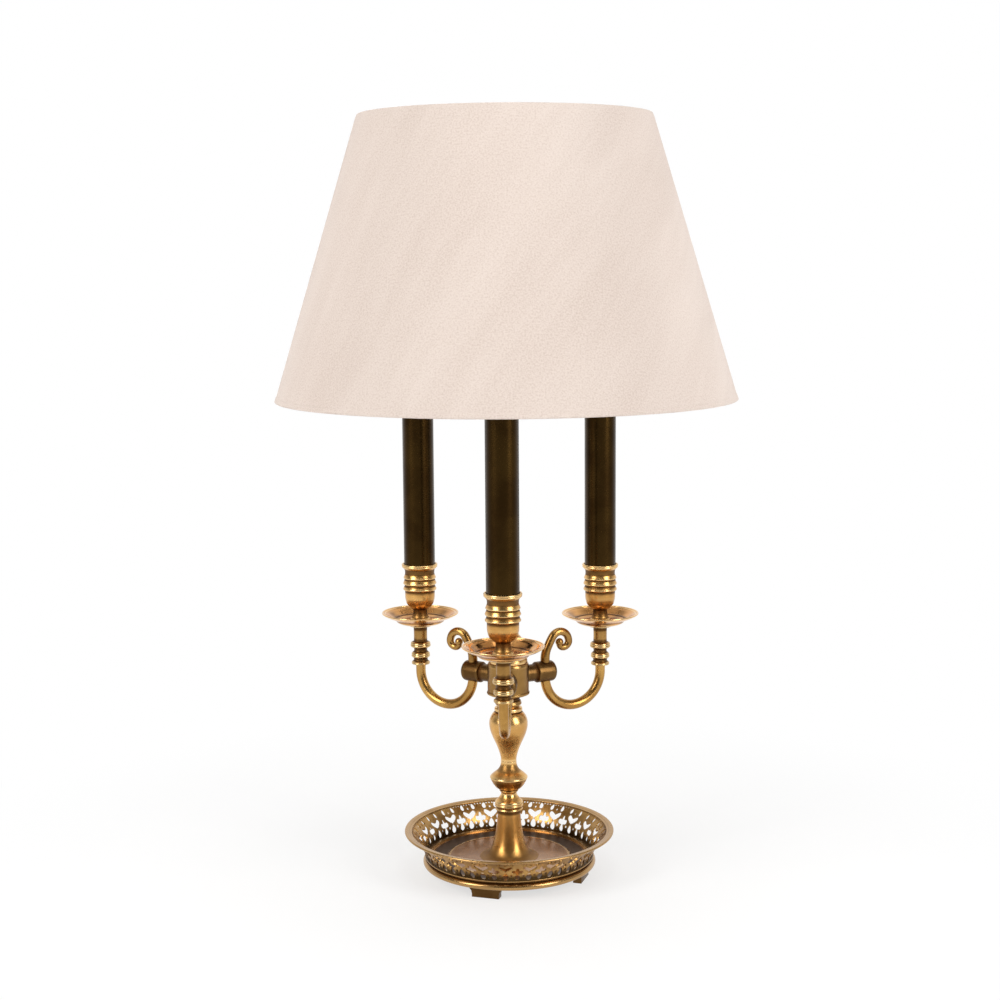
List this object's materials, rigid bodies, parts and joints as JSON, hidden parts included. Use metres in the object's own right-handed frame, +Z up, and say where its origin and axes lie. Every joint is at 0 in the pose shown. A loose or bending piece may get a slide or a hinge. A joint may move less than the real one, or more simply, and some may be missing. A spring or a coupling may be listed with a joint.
{
  "type": "candle lamp with shade",
  "caption": "Brass candelabra table lamp on a pierced tray base, with scrolled arms, candle sleeves in ringed cups and an empire fabric shade.",
  "frame": {"origin": "on the floor under the column's axis", "axes": "+Z up, front arm towards -Y"},
  "size_m": [0.3626, 0.3626, 0.6083],
  "materials": {
    "antique_brass": "satin, patinated",
    "pan_brass": "satin, coppery",
    "bronze_sleeve": "satin, dark bronze",
    "steel": "zinc plated",
    "iron": "rough cast",
    "shade_fabric": "matt, suede-like",
    "shade_lining": "white film",
    "shade_wire": "white",
    "holder_plastic": "ivory",
    "bushing_plastic": "black",
    "bulb_cap": "plain",
    "bulb_glass": "opal"
  },
  "bodies": {
    "lamp": {"arm_bosses": "antique_brass", "arm_hub": "antique_brass", "arm_scrolls": "antique_brass", "arm_stems": "antique_brass", "arm_tubes": "antique_brass", "base_nut": "steel", "base_ring": "antique_brass", "base_washer": "steel", "candle_cups": "antique_brass", "candle_nipples": "steel", "column_knop": "antique_brass", "column_trumpet": "antique_brass", "column_vase": "antique_brass", "cord_bushing": "bushing_plastic", "foot_1": "antique_brass", "foot_2": "antique_brass", "foot_3": "antique_brass", "foot_4": "antique_brass", "gallery_band": "antique_brass", "gallery_rim": "antique_brass", "hub_cap": "antique_brass", "lampholders": "holder_plastic", "shade_carrier": "antique_brass", "shade_rod": "antique_brass", "through_rod": "steel", "tray_floor": "antique_brass", "wax_pans": "pan_brass", "weight_ring": "iron"},
    "bulb_1": {"bulb_cap_1": "bulb_cap", "bulb_glass_1": "bulb_glass"},
    "bulb_2": {"bulb_cap_2": "bulb_cap", "bulb_glass_2": "bulb_glass"},
    "bulb_3": {"bulb_cap_3": "bulb_cap", "bulb_glass_3": "bulb_glass"},
    "sleeve_1": {"candle_sleeve_1": "bronze_sleeve"},
    "sleeve_2": {"candle_sleeve_2": "bronze_sleeve"},
    "sleeve_3": {"candle_sleeve_3": "bronze_sleeve"},
    "shade": {"shade_bottom_wire": "shade_wire", "shade_cover": "shade_fabric", "shade_lining": "shade_lining", "shade_spider": "antique_brass", "shade_top_wire": "shade_wire"},
    "finial": {"shade_finial": "antique_brass"}
  },
  "joints": [
    {"name": "shade_turn", "type": "hinge", "parent": "lamp", "child": "shade", "pos_m": [0, 0, 0.566], "axis": [0, 0, 1], "continuous": true},
    {"name": "finial_turn", "type": "hinge", "parent": "lamp", "child": "finial", "pos_m": [0, 0, 0.568], "axis": [0, 0, 1], "continuous": true},
    {"name": "bulb_1_turn", "type": "hinge", "parent": "lamp", "child": "bulb_1", "pos_m": [0, -0.086, 0.4], "axis": [0, 0, 1], "continuous": true},
    {"name": "sleeve_1_lift", "type": "slide", "parent": "lamp", "child": "sleeve_1", "axis": [0, 0, 1], "range_m": [0, 0.008]},
    {"name": "bulb_2_turn", "type": "hinge", "parent": "lamp", "child": "bulb_2", "pos_m": [0.07448, 0.043, 0.4], "axis": [0, 0, 1], "continuous": true},
    {"name": "sleeve_2_lift", "type": "slide", "parent": "lamp", "child": "sleeve_2", "axis": [0, 0, 1], "range_m": [0, 0.008]},
    {"name": "bulb_3_turn", "type": "hinge", "parent": "lamp", "child": "bulb_3", "pos_m": [-0.07448, 0.043, 0.4], "axis": [0, 0, 1], "continuous": true},
    {"name": "sleeve_3_lift", "type": "slide", "parent": "lamp", "child": "sleeve_3", "axis": [0, 0, 1], "range_m": [0, 0.008]}
  ]
}
